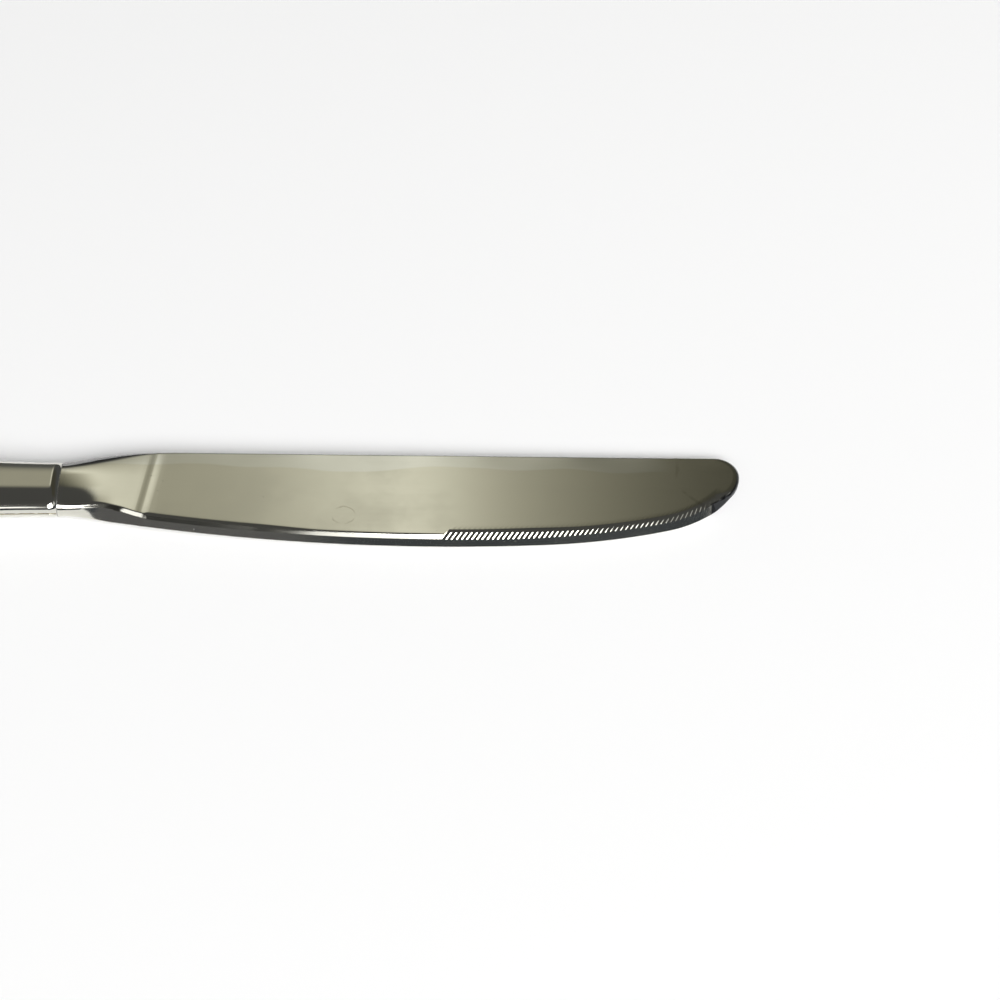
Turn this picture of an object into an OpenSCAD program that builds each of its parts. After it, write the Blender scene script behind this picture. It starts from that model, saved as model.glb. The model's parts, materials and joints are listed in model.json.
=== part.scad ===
// Dinner knife: a forged blade with a serrated edge, set in a hollow handle of two pressed halves.
// The knife lies on its left side as on a table: tip to +X, spine to +Y, right side up.
// Sections are worked out in the knife's own frame, with x = 0 at the mouth of the handle,
// y = 0 on the middle of the blade's width and z = 0 on the middle of its thickness.

/* [Blade] */
// Length of the blade from its shoulder to the tip
blade_length = 115.8; // [108:0.1:124]
// Width of the blade at the fullest part of the belly
blade_width = 22.1; // [21:0.1:24]
// Width of the blade at the heel
heel_width = 18; // [17:0.1:19.5]
// Thickness of the blade
blade_thickness = 2.2; // [1.9:0.1:2.6]
// Distance from the tip back to the fullest part of the belly
belly_from_tip = 61; // [57:0.5:66]
// Radius of the edge ahead of the belly
belly_radius = 124; // [115:1:133]
// Radius of the edge where it turns up to the nose
front_radius = 25; // [22.5:0.5:28]
// Radius of the nose
nose_radius = 7.4; // [6.6:0.1:8.4]
// Radius on both corners of the spine
spine_round = 0.7; // [0.4:0.05:0.9]

/* [Edge] */
// Width of the steep band ground along the edge
band_width = 0.8; // [0.6:0.05:1]
// Width of the plain bevel above the band
bevel_width = 0.64; // [0.5:0.02:0.8]
// Depth of the bevel below the flat of the blade
bevel_depth = 0.72; // [0.6:0.02:0.86]
// Thickness left at the cutting edge
edge_land = 0.15; // [0.1:0.05:0.3]
// Number of serrations
tooth_count = 55; // [30:1:55]
// Distance between serrations along the knife
tooth_pitch = 1; // [0.9:0.01:1.04]
// Depth of the serrations
tooth_depth = 0.085; // [0.07:0.005:0.12]
// Width of the serrations above the band
tooth_width = 1.5; // [1.3:0.05:1.8]
// Slant of the serrations away from square to the knife
tooth_slant = 38; // [32:1:44]
// Distance from the tip back to the last serration
tooth_end = 3.8; // [3:0.1:8]

/* [Bolster] */
// Length of the bolster from the mouth of the handle to the shoulder
bolster_length = 18; // [16:0.5:22]
// Width of the neck at the mouth of the handle
neck_width = 12.4; // [11:0.1:14]
// Thickness of the neck at the mouth of the handle
neck_thickness = 5.6; // [5:0.1:6.4]
// Distance of the neck's middle above the middle of the blade's width
neck_rise = 1.6; // [1:0.1:2.4]
// Height of the step from the blade to the bolster, on each side
shoulder_step = 0.08; // [0.04:0.01:0.16]
// Length over which the shoulder rises
shoulder_length = 2.4; // [1.8:0.1:3.4]
// Slant of the shoulder, as a distance along for each unit of width
shoulder_slant = 0.13; // [0:0.01:0.25]

/* [Handle] */
// Length of the handle from its mouth to the butt
handle_length = 104; // [92:1:112]
// Width of the handle where it is widest
handle_width = 20.6; // [18:0.1:21]
// Thickness of the handle where it is thickest
handle_thickness = 9.4; // [8:0.1:11]
// Distance from the butt to the widest part
swell_from_butt = 26; // [20:0.5:34]
// Distance of the middle of the butt above the middle of the blade's width
butt_rise = 0.4; // [0:0.1:0.6]
// Wall of the pressed halves
handle_wall = 0.8; // [0.6:0.05:1.2]

/* [Joints] */
// Length of the spigot that fits into the mouth of the handle
spigot_length = 4; // [3:0.5:6]
// Length of the tang behind the spigot
tang_length = 52; // [40:1:60]
// Width of the tang where it leaves the spigot
tang_width = 7.4; // [6:0.1:8]
// Width of the tang at its end
tang_end_width = 5.8; // [4.8:0.1:6]
// Thickness of the tang
tang_thickness = 2.2; // [1.6:0.1:2.6]
// Radius of the notches that key the tang into the cement
notch_radius = 1.1; // [0.8:0.1:1.4]
// Clearance of the spigot in the mouth, and of the cement round the tang and in the handle
fit_gap = 0.05; // [0.03:0.01:0.1]
// Thickness of the braze between the halves
seam_thickness = 0.16; // [0.1:0.02:0.3]
// Thickness of the solder between bolster and handle
solder_thickness = 0.16; // [0.1:0.02:0.3]

/* [Hidden] */

// Lengthwise places
heel_x = bolster_length;
tip_x = heel_x + blade_length;
belly_x = tip_x - belly_from_tip;
swell_x = swell_from_butt - handle_length;

// Outline of the blade: the spine is straight, the edge is four arcs, each tangent to the next
spine_line = blade_width / 2;
belly_line = -blade_width / 2;
belly_sag = blade_width - heel_width;
back_radius = (pow(belly_x - heel_x, 2) + pow(belly_sag, 2)) / (2 * belly_sag);
front_turn = 14.7;
nose_turn = 51.3;
front_reach = belly_radius * sin(front_turn) + front_radius * (sin(nose_turn) - sin(front_turn))
            + nose_radius * (1 - sin(nose_turn));
belly_turn = asin((belly_from_tip - front_reach) / (back_radius - belly_radius));
back_centre = [belly_x, belly_line + back_radius];
belly_centre = back_centre + (back_radius - belly_radius) * [sin(belly_turn), -cos(belly_turn)];
front_centre = belly_centre + (belly_radius - front_radius) * [sin(front_turn), -cos(front_turn)];
nose_centre = front_centre + (front_radius - nose_radius) * [sin(nose_turn), -cos(nose_turn)];
corner_radius = spine_line - nose_centre.y;

// Where one arc of the edge passes into the next
belly_start = back_centre.x + back_radius * sin(belly_turn);
front_start = belly_centre.x + belly_radius * sin(front_turn);
nose_start = front_centre.x + front_radius * sin(nose_turn);

// Thickness of the forging
blade_half = blade_thickness / 2;
neck_half = neck_thickness / 2;
shoulder_front = heel_x + 0.6;
shoulder_back = shoulder_front - shoulder_length;
// A shallow valley lies behind the shoulder; from it the bolster rises to the neck
valley_length = 1;
valley_depth = 0.08;
valley_x = shoulder_back - valley_length;
bolster_rise = 1;

// The grind on the edge dies out ahead of the nose, over this length, into a fuller round
grind_runout = 3.5;
nose_round = 0.86 * blade_half;
// Along the neck the band widens and the bevel gets shallower
neck_grind_x = heel_x + 0.2;
neck_grind_length = 5.5;
neck_band_width = band_width + 0.7;
neck_bevel_depth = 0.83 * bevel_depth;
// Inset of the underside at the cutting edge
under_inset = 0.1;
// How far the shoulder's slant takes to die out to either side
slant_fade = 12;
// Edge and spine draw in to the neck faster than the plain easing curve
neck_haste = 0.7;
spine_haste = 0.6;
// The spine starts to draw in this far ahead of the shoulder
spine_run = 3;

// Section of the neck and the handle: an oval between an ellipse (2) and a box
oval_power = 2.5;
// Where the forging starts to turn oval behind the blade, on its edge side and on its spine side
oval_start = heel_x - 6.5;
spine_oval_start = heel_x + 5;
// Points on each side of the forging's section, and between the sides
chain_last = 6;
face_points = 5;
// Point of the edge's chain that is the cutting edge
edge_place = 4;
// Half the angle that each side takes of the neck's section
chain_angle = 40;
handle_sides = 32;

// Serrations: grooves with one wall that faces the front and one that faces the heel
tooth_first_x = tip_x - tooth_end - (tooth_count - 1) * tooth_pitch;
tooth_spacing = tooth_pitch * cos(tooth_slant);
tooth_wall_share = 0.3;
// Width of each wall across the groove
front_wall = tooth_spacing * tooth_wall_share;
heel_wall = tooth_spacing - front_wall;
// Past this turn of the edge the grooves turn with it by this share, and they get narrower
follow_from = 12;
follow_share = 0.9;
nose_tooth_share = 0.72;
// Towards the nose they also get shallower, down to this share over this length
nose_depth_share = 0.65;
nose_fade = 7;
// The grooves overlap by this much and start this far below the top of the band
tooth_overlap = 0.015;
tooth_sink = 0.06;
// Room that a cutter takes outside the steel
cut_room = 1.2;

// The knife tips until both the handle and the nose touch the table
rest_tilt = atan((handle_thickness / 2 - blade_half) / (tip_x - swell_x));
rest_x = (tip_x - handle_length) / 2 * cos(rest_tilt);
rest_z = max([for (x = handle_stations(0, 0)) half_thickness_at(x, 0) * cos(rest_tilt) + x * sin(rest_tilt)]);

steel = "#bdb9a8";
shell_steel = "#c6c3b6";
braze = "#cfc08f";
solder = "#a8a8a4";
cement = "#cbbfa6";

// Smooth step from 0 to 1
function ease(t) = let (c = min(max(t, 0), 1)) c * c * (3 - 2 * c);
function mix(a, b, t) = a + (b - a) * t;
function signed_power(v, p) = sign(v) * pow(abs(v), p);

// Point of an oval section with its middle at y, half-sizes a and b, at an angle from the spine side
function oval(y, a, b, angle) =
    [y + a * signed_power(cos(angle), 2 / oval_power), b * signed_power(sin(angle), 2 / oval_power)];

// Arc of the edge at x: its centre and its radius
function edge_arc(x) =
    x < belly_start ? [back_centre, back_radius] :
    x < front_start ? [belly_centre, belly_radius] :
    x < nose_start ? [front_centre, front_radius] : [nose_centre, nose_radius];

// Angle by which the edge has turned upward at x
function edge_turn(x) = let (arc = edge_arc(x)) asin((x - arc[0].x) / arc[1]);
function arc_y(x) = let (arc = edge_arc(x)) arc[0].y - arc[1] * cos(edge_turn(x));

// Edge and spine, drawn in from the blade to the neck
function edge_y(x) =
    mix(neck_rise - neck_width / 2, arc_y(x), ease(pow(max(x, 0) / heel_x, neck_haste)));
function corner_turn(x) = asin(max(0, 1 - (tip_x - x) / corner_radius));
function spine_y(x) =
    mix(neck_rise + neck_width / 2, nose_centre.y + corner_radius * cos(corner_turn(x)),
        ease(pow(max(x, 0) / (heel_x + spine_run), spine_haste)));

// Half thickness of the forging: flat blade, shoulder, valley, then a neck that thickens to the handle
function forging_half(x) =
    let (back = max(0, 1 - x / valley_x))
    blade_half
    + shoulder_step * pow(min(max((shoulder_front - x) / shoulder_length, 0), 1), 2)
    - valley_depth * ease((shoulder_back - x) / valley_length)
    + bolster_rise * back
    + (neck_half - blade_half - shoulder_step + valley_depth - bolster_rise) * pow(back, 3);

// 0 on the blade, where the section is flat with ground edges, to 1 at the mouth, where it is oval
function edge_share(x) = ease(1 - x / oval_start);
function spine_share(x) = ease(1 - x / spine_oval_start);
// 0 on the blade, 1 where the neck's grind is fully drawn out
function neck_grind(x) = min(max((neck_grind_x - x) / neck_grind_length, 0), 1);
function band_at(x) = mix(band_width, neck_band_width, neck_grind(x));
function depth_at(x) = mix(bevel_depth, neck_bevel_depth, neck_grind(x));
// 1 along the blade, 0 on the nose
function grind(x) = ease((nose_start - x) / grind_runout);
function slant(x) =
    shoulder_slant * ease(1 - (x - shoulder_front) / slant_fade) * ease(1 - (shoulder_back - x) / slant_fade);
function slanted(x, y) = x + slant(x) * y;

// Corners rounded alike on both sides, as insets and heights from the right side to the left
function rounded_profile(x) =
    let (
        radius = mix(nose_round, spine_round, grind(x)),
        flat = forging_half(x) - radius
    )
    [for (i = [0 : chain_last])
        let (turn = 90 - 180 * i / chain_last)
        [radius * (1 - cos(turn)), flat * sign(chain_last / 2 - i) + radius * sin(turn)]];

// Ground edge, from the top of the bevel to the underside; on the nose it is rounded like the spine
function edge_profile(x) =
    let (
        half = forging_half(x),
        band = band_at(x),
        band_z = half - depth_at(x),
        land_z = edge_land - half,
        ground = [
            [band + bevel_width, half], [band + bevel_width / 2, (half + band_z) / 2],
            [band, band_z], [band / 2, (band_z + land_z) / 2],
            [0, land_z], [under_inset / 2, (land_z - half) / 2], [under_inset, -half]]
    )
    mix(rounded_profile(x), ground, grind(x));

function edge_chain(x) =
    let (
        at = slanted(x, edge_y(x)),
        turn = at < heel_x ? 0 : edge_turn(at)
    )
    [for (p = edge_profile(x)) [at - p[0] * sin(turn), edge_y(at) + p[0] * cos(turn), p[1]]];

function spine_chain(x) =
    let (
        at = slanted(x, spine_y(x)),
        turn = corner_turn(at)
    )
    [for (p = rounded_profile(x)) [at - p[0] * sin(turn), spine_y(at) - p[0] * cos(turn), p[1]]];

function between(a, b) = [for (i = [1 : face_points]) mix(a, b, i / (face_points + 1))];
function reverse(list) = [for (i = [len(list) - 1 : -1 : 0]) list[i]];

// Flat section with ground edges: down the edge, under the blade, up the spine and back over the top
function blade_ring(x) =
    let (edge = edge_chain(x), spine = spine_chain(x))
    concat(edge, between(edge[chain_last], spine[chain_last]), reverse(spine), between(spine[0], edge[0]));

// Angles of the same points on an oval section
function ring_angles() =
    let (
        side = [for (i = [0 : chain_last]) mix(-chain_angle, chain_angle, i / chain_last)],
        edge_side = [for (i = [0 : chain_last])
            i < edge_place ? mix(-chain_angle, 0, i / edge_place)
                           : mix(0, chain_angle, (i - edge_place) / (chain_last - edge_place))]
    )
    concat([for (a = edge_side) 180 + a], between(180 + chain_angle, 360 - chain_angle),
           side, between(chain_angle, 180 - chain_angle));

function neck_ring(x) =
    let (low = edge_y(x), high = spine_y(x))
    [for (a = ring_angles())
        let (p = oval((low + high) / 2, (high - low) / 2, forging_half(x), a))
        [slanted(x, p[0]), p[0], p[1]]];

// How far each point of the section has turned from the blade's shape to the neck's
function ring_shares(x) =
    let (edge = edge_share(x), spine = spine_share(x))
    concat([for (i = [0 : chain_last]) edge], between(edge, spine),
           [for (i = [0 : chain_last]) spine], between(spine, edge));

function forging_ring(x) =
    let (flat = blade_ring(x), oval = neck_ring(x), shares = ring_shares(x))
    [for (i = [0 : len(flat) - 1]) mix(flat[i], oval[i], shares[i])];

function steps(from, to, count) = [for (i = [0 : count - 1]) mix(from, to, i / count)];

// Places of the sections, closer together where the forging turns faster
forging_stations = concat(
    steps(0, valley_x, 10),
    steps(valley_x, shoulder_back, 4),
    steps(shoulder_back, shoulder_front, 7),
    steps(shoulder_front, belly_start, 16),
    steps(belly_start, front_start, 10),
    steps(front_start, nose_start, 12),
    [for (i = [0 : 6]) nose_centre.x + nose_radius * sin(mix(nose_turn, 86, i / 6))],
    [tip_x - 0.01]
);

// Skin over rings of points, each with the same count; its ends are closed by the given faces
module skin(rings, first_cap, last_cap) {
    sides = len(rings[0]);
    last = (len(rings) - 1) * sides;
    polyhedron(
        points = [for (ring = rings) each ring],
        faces = concat(
            first_cap,
            [for (f = last_cap) [for (i = f) last + i]],
            [for (r = [0 : len(rings) - 2], i = [0 : sides - 1])
                let (a = r * sides + i, b = r * sides + (i + 1) % sides)
                each [[a, b, b + sides], [a, b + sides, a + sides]]]
        )
    );
}

// Faces that close the nose, from the edge's chain of points across to the spine's
function nose_cap(sides) =
    let (
        spine_first = chain_last + face_points + 1,
        spine_last = spine_first + chain_last
    )
    concat(
        [concat([1, 0], [for (i = [sides - 1 : -1 : spine_last - 1]) i])],
        [for (i = [1 : chain_last - 2]) [i + 1, i, spine_last - i, spine_last - i - 1]],
        [[for (i = [spine_first + 1 : -1 : chain_last - 1]) i]]
    );

module forging() {
    rings = [for (x = reverse(forging_stations)) forging_ring(x)];
    sides = len(rings[0]);
    skin(rings, nose_cap(sides), [[for (i = [0 : sides - 1]) i]]);
}

// Slant of the groove at x, its depth and its width above the band
function groove_slant(x) = tooth_slant - follow_share * max(0, edge_turn(x) - follow_from);
function groove_depth(x) = tooth_depth * mix(1, nose_depth_share, ease((x - front_start) / nose_fade));
function groove_width(x) =
    tooth_width * mix(1, nose_tooth_share, ease((x - front_start) / (nose_start - front_start)));

// One groove of the serrated edge, its floor rising from the band to the flat of the blade
module tooth_groove(x) {
    turn = edge_turn(x);
    inset = band_at(x) * grind(x);
    depth = mix(tooth_sink, bevel_depth + tooth_sink, grind(x));
    run = groove_width(x) / cos(tooth_slant);
    climb = atan(bevel_depth / run);
    front_crest = groove_depth(x) + front_wall * tan(climb);
    heel_crest = groove_depth(x) - heel_wall * tan(climb);
    translate([x - inset * sin(turn), edge_y(x) + inset * cos(turn), blade_half - depth])
        rotate([0, 0, -groove_slant(x)])
            rotate([climb, 0, 0])
                translate([0, -cut_room, 0])
                    rotate([90, 0, 180])
                        linear_extrude(run / cos(climb) + 2 * cut_room)
                            polygon([
                                [0, 0],
                                [front_wall + tooth_overlap, front_crest],
                                [front_wall + tooth_overlap, cut_room],
                                [-heel_wall - tooth_overlap, cut_room],
                                [-heel_wall - tooth_overlap, heel_crest]
                            ]);
}

// Middle, half width and half thickness of the handle at x, drawn in by an inset
function swell(x) = ease(min(0, x) / swell_x);
function dome(x, inset, power) =
    x > swell_x ? 1 : pow(1 - pow(min(1, (swell_x - x) / (swell_from_butt - inset)), power), 1 / power);
function handle_y(x) = mix(neck_rise, butt_rise, swell(x));
function half_width_at(x, inset) = (mix(neck_width, handle_width, swell(x)) / 2 - inset) * dome(x, inset, 2.3);
function half_thickness_at(x, inset) =
    (mix(neck_thickness, handle_thickness, swell(x)) / 2 - inset) * dome(x, inset, 2.1);

// Places of the handle's sections, from the front to the butt, where they crowd together
function handle_stations(front, inset) =
    concat(
        steps(front, swell_x, 20),
        [for (turn = [0 : 8 : 88]) swell_x - (swell_from_butt - inset) * sin(turn)]
    );

// Solid of the handle from x = front to the butt, drawn in by an inset
module handle_solid(front, inset) {
    rings = [for (x = handle_stations(front, inset))
        [for (i = [0 : handle_sides - 1])
            let (p = oval(handle_y(x), half_width_at(x, inset), half_thickness_at(x, inset),
                          360 * i / handle_sides))
            [x, p[0], p[1]]]];
    skin(rings, [[for (i = [handle_sides - 1 : -1 : 0]) i]], [[for (i = [0 : handle_sides - 1]) i]]);
}

// Outline of the handle seen from its right side, drawn in by an inset
function handle_outline(front, inset) =
    let (stations = handle_stations(front, inset))
    concat(
        [for (x = stations) [x, handle_y(x) + half_width_at(x, inset)]],
        [for (x = reverse(stations)) [x, handle_y(x) - half_width_at(x, inset)]]
    );

// Disc with the oval section of the neck, drawn in by an inset
module neck_disc(back, front, inset) {
    translate([back, 0, 0])
        rotate([90, 0, 90])
            linear_extrude(front - back)
                polygon([for (i = [0 : handle_sides - 1])
                    oval(neck_rise, neck_width / 2 - inset, neck_thickness / 2 - inset, 360 * i / handle_sides)]);
}

// Flat tang with notches in both edges, grown all round for the hole that it leaves in the cement
module tang(grow) {
    root_x = 1 - spigot_length;
    end_x = -spigot_length - tang_length - grow;
    root_half = tang_width / 2 + grow;
    end_half = tang_end_width / 2 + grow;
    translate([0, neck_rise, -tang_thickness / 2 - grow])
        linear_extrude(tang_thickness + 2 * grow)
            difference() {
                polygon([[root_x, -root_half], [root_x, root_half], [end_x, end_half], [end_x, -end_half]]);
                for (share = [0.45, 0.75], side = [-1, 1])
                    translate([root_x + (end_x - root_x) * share, side * (mix(root_half, end_half, share))])
                        circle(r = notch_radius - grow, $fn = 32);
            }
}

// Lays a piece down as the knife rests on a table
module at_rest() {
    translate([-rest_x, 0, rest_z])
        rotate([0, rest_tilt, 0])
            children();
}

module blade() {
    color(steel)
        at_rest() {
            difference() {
                forging();
                for (i = [0 : tooth_count - 1])
                    tooth_groove(tooth_first_x + i * tooth_pitch);
            }
            neck_disc(-spigot_length, 1, handle_wall + fit_gap);
            tang(0);
        }
}

// Pressed shell of the whole handle, open at its mouth
module handle_shell() {
    difference() {
        handle_solid(-solder_thickness, 0);
        handle_solid(1, handle_wall);
    }
}

// Half-space beside the seam, on the right side (1) or the left (-1)
module beside_seam(side) {
    size = 2 * handle_length;
    translate([-size, -size / 2, side > 0 ? seam_thickness / 2 : -seam_thickness / 2 - size])
        cube(size);
}

module handle_shell_right() {
    color(shell_steel)
        at_rest()
            intersection() {
                handle_shell();
                beside_seam(1);
            }
}

module handle_shell_left() {
    color(shell_steel)
        at_rest()
            intersection() {
                handle_shell();
                beside_seam(-1);
            }
}

module seam_braze() {
    color(braze)
        at_rest()
            translate([0, 0, -seam_thickness / 2])
                linear_extrude(seam_thickness)
                    difference() {
                        polygon(handle_outline(-solder_thickness, 0));
                        polygon(handle_outline(1, handle_wall));
                    }
}

module mouth_solder() {
    color(solder)
        at_rest()
            difference() {
                neck_disc(-solder_thickness, 0, 0);
                neck_disc(-solder_thickness - 1, 1, handle_wall);
            }
}

module handle_cement() {
    color(cement)
        at_rest()
            difference() {
                handle_solid(-spigot_length - fit_gap, handle_wall + fit_gap);
                tang(fit_gap);
            }
}

blade();
handle_shell_right();
handle_shell_left();
seam_braze();
mouth_solder();
handle_cement();
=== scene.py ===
# %% [markdown]
# # A dinner knife
#
# The knife lies on its left side on a pale table, tip to the right. It is one forged and polished blade
# with a bolster and a hidden tang, set in a hollow handle of two pressed halves. This lesson builds the
# visible steel in Blender over the CAD model, gives every piece a procedural finish and lights it.
# Everything is in metres in the CAD model's frame, so each piece goes where its CAD node is.

# %% Load the frame
import json
import math

import bmesh
import bpy
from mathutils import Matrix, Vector


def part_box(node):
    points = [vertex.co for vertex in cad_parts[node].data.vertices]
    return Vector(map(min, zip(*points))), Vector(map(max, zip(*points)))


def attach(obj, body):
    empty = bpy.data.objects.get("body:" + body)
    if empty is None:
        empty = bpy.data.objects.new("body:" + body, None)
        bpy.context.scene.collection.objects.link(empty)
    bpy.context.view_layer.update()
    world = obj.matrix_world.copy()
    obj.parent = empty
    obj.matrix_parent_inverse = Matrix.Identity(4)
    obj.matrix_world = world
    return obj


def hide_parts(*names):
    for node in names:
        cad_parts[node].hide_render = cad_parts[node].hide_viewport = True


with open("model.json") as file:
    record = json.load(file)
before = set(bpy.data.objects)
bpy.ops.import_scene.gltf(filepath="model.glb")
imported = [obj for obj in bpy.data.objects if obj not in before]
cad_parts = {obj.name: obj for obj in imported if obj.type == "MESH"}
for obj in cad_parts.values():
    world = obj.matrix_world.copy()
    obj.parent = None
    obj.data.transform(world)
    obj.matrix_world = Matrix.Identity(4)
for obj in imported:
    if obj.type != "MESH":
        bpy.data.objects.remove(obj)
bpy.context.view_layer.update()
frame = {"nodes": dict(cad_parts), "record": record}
for name in frame["nodes"]:
    low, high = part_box(name)
    print(name, "is", [round(1000 * side, 2) for side in high - low], "mm")

# %% [markdown]
# The blade is drawn most easily in its own frame: x along the knife from the mouth of the handle, y from
# the edge to the spine, z out of the right side, in millimetres. On the table the knife is tipped by
# about a degree, because the handle is thicker than the blade. The record's mount on the blade's left
# face gives that tilt and one known point, so `lay` can carry any point of the drawing to the table.

# %% From the drawing to the table
MM = 0.001
bolster_length = 18
blade_length = 115.8
blade_thickness = 2.2
mount_from_heel = 62
heel_x = bolster_length
tip_x = heel_x + blade_length
blade_half = blade_thickness / 2

mount = next(m for m in frame["record"]["mounts"] if m["name"] == "left_face")
mount_point = Vector(mount["pos_m"])
upward = -Vector(mount["axis"]).normalized()
forward = Vector((upward.z, 0, -upward.x))
spineward = Vector((0, 1, 0))


def lay(x, y, z):
    along = x - heel_x - mount_from_heel
    return mount_point + MM * (along * forward + y * spineward + (z + blade_half) * upward)


print("tilt", round(math.degrees(math.asin(upward.x)), 3), "degrees; tip at", lay(tip_x, 0, 0))

# %% [markdown]
# The outline of the blade is a straight spine and an edge of four arcs, each tangent to the next: a long
# flat one from the heel, a belly, a quicker turn-up and the round nose. Arcs give a fair curve from few
# sizes, where points traced by eye would wobble.

# %% Outline of the blade
blade_width = 22.1
heel_width = 18
belly_from_tip = 61
belly_radius = 124
front_radius = 25
nose_radius = 7.4
front_turn = math.radians(14.7)
nose_turn = math.radians(51.3)

belly_x = tip_x - belly_from_tip
belly_sag = blade_width - heel_width
back_radius = ((belly_x - heel_x) ** 2 + belly_sag ** 2) / (2 * belly_sag)
front_reach = (belly_radius * math.sin(front_turn)
               + front_radius * (math.sin(nose_turn) - math.sin(front_turn))
               + nose_radius * (1 - math.sin(nose_turn)))
belly_turn = math.asin((belly_from_tip - front_reach) / (back_radius - belly_radius))


def next_centre(centre, radius, smaller, turn):
    return centre + (radius - smaller) * Vector((math.sin(turn), -math.cos(turn)))


back_centre = Vector((belly_x, back_radius - blade_width / 2))
belly_centre = next_centre(back_centre, back_radius, belly_radius, belly_turn)
front_centre = next_centre(belly_centre, belly_radius, front_radius, front_turn)
nose_centre = next_centre(front_centre, front_radius, nose_radius, nose_turn)
front_start = belly_centre.x + belly_radius * math.sin(front_turn)
nose_start = front_centre.x + front_radius * math.sin(nose_turn)
corner_radius = blade_width / 2 - nose_centre.y
edge_arcs = [
    (back_centre.x + back_radius * math.sin(belly_turn), back_centre, back_radius),
    (front_start, belly_centre, belly_radius),
    (nose_start, front_centre, front_radius),
    (math.inf, nose_centre, nose_radius),
]


def edge_turn(x):
    centre, radius = next((c, r) for end, c, r in edge_arcs if x < end)
    return math.asin(min(1, (x - centre.x) / radius))


def arc_y(x):
    centre, radius = next((c, r) for end, c, r in edge_arcs if x < end)
    return centre.y - radius * math.cos(edge_turn(x))


def corner_turn(x):
    return math.asin(min(1, max(0, 1 - (tip_x - x) / corner_radius)))


print("arcs of the edge end at", [round(end, 1) for end, _, _ in edge_arcs[:3]], "mm")

# %% [markdown]
# Behind the heel the forging draws in to the neck and thickens to the oval mouth of the handle, with a
# slanted shoulder where blade becomes bolster. One smooth-step function drives every such blend. The
# profile is averaged over a short window, because polishing leaves no crisp step.

# %% Bolster and shoulder
neck_width = 12.4
neck_thickness = 5.6
neck_rise = 1.6
neck_haste = 0.7
spine_haste = 0.6
spine_run = 3
oval_start = 11.5
spine_oval_start = 23
shoulder_step = 0.12
shoulder_length = 2.6
shoulder_slant = 0.1
valley_depth = 0.05
valley_length = 0.8
bolster_rise = 1.0
slant_fade = 12
oval_power = 2.5
shoulder_ease = 0.4
ease_window = (-1, -0.5, 0, 0.5, 1)
shoulder_lead = 1.5
shoulder_front = heel_x + shoulder_lead
shoulder_back = shoulder_front - shoulder_length
valley_x = shoulder_back - valley_length


def mix(a, b, t):
    return a + (b - a) * t


def ease(t):
    c = min(max(t, 0), 1)
    return c * c * (3 - 2 * c)


def edge_y(x):
    flare = ease((max(x, 0) / heel_x) ** neck_haste)
    return mix(neck_rise - neck_width / 2, arc_y(x), flare)


def spine_y(x):
    flare = ease((max(x, 0) / (heel_x + spine_run)) ** spine_haste)
    return mix(neck_rise + neck_width / 2, nose_centre.y + corner_radius * math.cos(corner_turn(x)), flare)


def forged_half(x):
    step = shoulder_step * min(max((shoulder_front - x) / shoulder_length, 0), 1) ** 2
    valley = valley_depth * ease((shoulder_back - x) / valley_length)
    back = max(0, 1 - x / valley_x)
    swell = (neck_thickness / 2 - blade_half - shoulder_step + valley_depth - bolster_rise) * back ** 3
    return blade_half + step - valley + bolster_rise * back + swell


def forging_half(x):
    return sum(forged_half(x + shoulder_ease * share) for share in ease_window) / len(ease_window)


def slanted(x, y):
    ahead = ease(1 - (x - shoulder_front) / slant_fade)
    behind = ease(1 - (shoulder_back - x) / slant_fade)
    return x + shoulder_slant * ahead * behind * y


def oval(middle, a, b, angle, power=oval_power):
    c = math.cos(math.radians(angle))
    s = math.sin(math.radians(angle))
    y = middle + a * math.copysign(abs(c) ** (2 / power), c)
    return y, b * math.copysign(abs(s) ** (2 / power), s)


print("heel", round(spine_y(heel_x) - edge_y(heel_x), 2), "mm wide, neck",
      round(spine_y(0) - edge_y(0), 2), "mm wide and", round(2 * forging_half(0), 2), "mm thick")

# %% [markdown]
# The edge is ground on the right side only: a steep band at the bottom, a plain bevel above it near the
# heel, and slanting saw-shaped grooves along the belly. The grooves could be painted on with a bump map,
# but then they would not break the line of the flat or catch the light on their own walls. So each groove
# is real: a section through its floor, a section through its crest, both lying along its slant. Towards
# the nose the grooves get finer and the band below them wider.

# %% Ground edge in section
band_width = 0.8
neck_band_width = 1.5
bevel_width = 0.64
bevel_depth = 0.72
neck_bevel_depth = 0.6
neck_grind_x = heel_x + 0.2
neck_grind_length = 5.5
front_band_width = 0.93
front_bevel_depth = 0.5
front_grind_x = 88
front_grind_length = 16
edge_land = 0.15
under_inset = 0.1
spine_round = 0.7
nose_round = 0.86 * blade_half
grind_runout = 3.5
guard_width = 0.4
chain_count = 17
corner_share = 0.45
level_turn = 1e-6


def grind(x):
    return ease((nose_start - x) / grind_runout)


def neck_grind(x):
    return min(max((neck_grind_x - x) / neck_grind_length, 0), 1)


def front_grind(x):
    return ease((x - front_grind_x) / front_grind_length)


def band_at(x):
    return mix(mix(band_width, neck_band_width, neck_grind(x)), front_band_width, front_grind(x))


def depth_at(x):
    return mix(mix(bevel_depth, neck_bevel_depth, neck_grind(x)), front_bevel_depth, front_grind(x))


def eased_corner(before, corner, after, run, count):
    start = corner + min(run, corner_share * (before - corner).length) * (before - corner).normalized()
    end = corner + min(run, corner_share * (after - corner).length) * (after - corner).normalized()
    steps = [i / (count - 1) for i in range(count)]
    return [start.lerp(corner, t).lerp(corner.lerp(end, t), t) for t in steps]


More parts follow.
